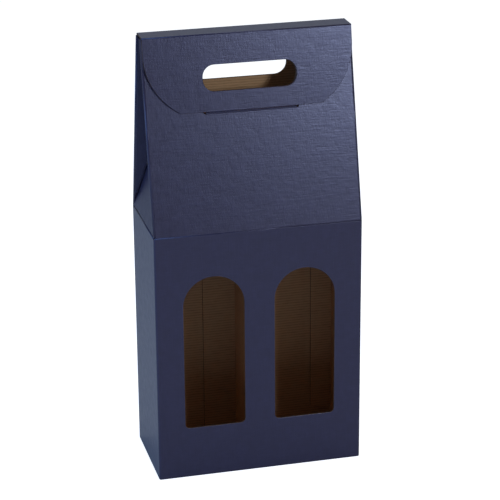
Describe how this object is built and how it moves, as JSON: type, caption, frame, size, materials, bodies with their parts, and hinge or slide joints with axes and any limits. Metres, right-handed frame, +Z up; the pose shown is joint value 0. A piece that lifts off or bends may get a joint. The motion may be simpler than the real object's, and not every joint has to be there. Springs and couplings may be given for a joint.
{
  "type": "wine carrier box",
  "caption": "Gable-top card carrier for bottles, with arched windows, a handle slot through its top, a tucked closing flap and a divider.",
  "frame": {"origin": "middle of the base, on the table", "axes": "+Z up, the windows face -Y, the wide side of the box runs along X"},
  "size_m": [0.18, 0.09, 0.383],
  "materials": {
    "navy_board": "linen-embossed navy paper on micro-flute board",
    "kraft_board": "plain brown kraft micro-flute board"
  },
  "bodies": {
    "box": {"front_panel": "navy_board", "back_panel": "navy_board", "left_side_panel": "navy_board", "right_side_panel": "navy_board", "glue_seam_flap": "navy_board", "bottom_front_flap": "navy_board", "bottom_front_glue_corner": "navy_board", "bottom_back_flap": "navy_board", "bottom_back_glue_corner": "navy_board", "bottom_left_flap": "navy_board", "bottom_right_flap": "navy_board", "divider_wall": "kraft_board", "divider_front_flange": "kraft_board", "divider_back_flange": "kraft_board"},
    "front_gable": {"front_gable_panel": "navy_board"},
    "back_gable": {"back_gable_panel": "navy_board"},
    "ridge": {"top_spine": "navy_board"},
    "flap": {"closing_flap": "navy_board"},
    "tongue": {"tuck_tongue": "navy_board"},
    "left_gusset": {"left_gusset_triangle": "navy_board"},
    "left_front_wing": {"left_front_gusset_wing": "navy_board"},
    "left_back_wing": {"left_back_gusset_wing": "navy_board"},
    "right_gusset": {"right_gusset_triangle": "navy_board"},
    "right_front_wing": {"right_front_gusset_wing": "navy_board"},
    "right_back_wing": {"right_back_gusset_wing": "navy_board"}
  },
  "joints": [
    {"name": "ridge_lift", "type": "hinge", "parent": "back_gable", "child": "ridge", "pos_m": [0, 0.01, 0.383], "axis": [-1, 0, 0], "range_deg": [0, 110]},
    {"name": "flap_unfold", "type": "hinge", "parent": "ridge", "child": "flap", "pos_m": [0, -0.01, 0.383], "axis": [-1, 0, 0], "range_deg": [0, 70]},
    {"name": "tongue_straighten", "type": "hinge", "parent": "flap", "child": "tongue", "pos_m": [0, -0.02178, 0.31946], "axis": [-1, 0, 0], "range_deg": [0, 25]},
    {"name": "back_gable_spread", "type": "hinge", "parent": "box", "child": "back_gable", "pos_m": [0, 0.045, 0.221], "axis": [-1, 0, 0], "range_deg": [0, 8]},
    {"name": "front_gable_spread", "type": "hinge", "parent": "box", "child": "front_gable", "pos_m": [0, -0.045, 0.221], "axis": [1, 0, 0], "range_deg": [0, 8]},
    {"name": "left_gusset_spread", "type": "hinge", "parent": "box", "child": "left_gusset", "pos_m": [-0.09, 0, 0.221], "axis": [0, -1, 0], "range_deg": [0, 3.8]},
    {"name": "left_front_wing_spread", "type": "hinge", "parent": "front_gable", "child": "left_front_wing", "pos_m": [-0.09, -0.04325, 0.221], "axis": [0, 0.2338, 0.9723], "range_deg": [0, 30.8]},
    {"name": "left_back_wing_spread", "type": "hinge", "parent": "back_gable", "child": "left_back_wing", "pos_m": [-0.09, 0.04326, 0.221], "axis": [0, 0.2112, -0.9774], "range_deg": [0, 30.8]},
    {"name": "right_gusset_spread", "type": "hinge", "parent": "box", "child": "right_gusset", "pos_m": [0.09, 0, 0.221], "axis": [0, 1, 0], "range_deg": [0, 3.8]},
    {"name": "right_front_wing_spread", "type": "hinge", "parent": "front_gable", "child": "right_front_wing", "pos_m": [0.09, -0.04325, 0.221], "axis": [0, -0.2338, -0.9723], "range_deg": [0, 30.8]},
    {"name": "right_back_wing_spread", "type": "hinge", "parent": "back_gable", "child": "right_back_wing", "pos_m": [0.09, 0.04326, 0.221], "axis": [0, -0.2112, 0.9774], "range_deg": [0, 30.8]}
  ],
  "couplings": [
    {"joint": "flap_unfold", "follows": "ridge_lift", "ratio": 0.63636},
    {"joint": "tongue_straighten", "follows": "ridge_lift", "ratio": 0.22727},
    {"joint": "back_gable_spread", "follows": "ridge_lift", "ratio": 0.072727},
    {"joint": "front_gable_spread", "follows": "ridge_lift", "ratio": 0.072727},
    {"joint": "left_gusset_spread", "follows": "ridge_lift", "ratio": 0.034545},
    {"joint": "left_front_wing_spread", "follows": "ridge_lift", "ratio": 0.28},
    {"joint": "left_back_wing_spread", "follows": "ridge_lift", "ratio": 0.28},
    {"joint": "right_gusset_spread", "follows": "ridge_lift", "ratio": 0.034545},
    {"joint": "right_front_wing_spread", "follows": "ridge_lift", "ratio": 0.28},
    {"joint": "right_back_wing_spread", "follows": "ridge_lift", "ratio": 0.28}
  ]
}
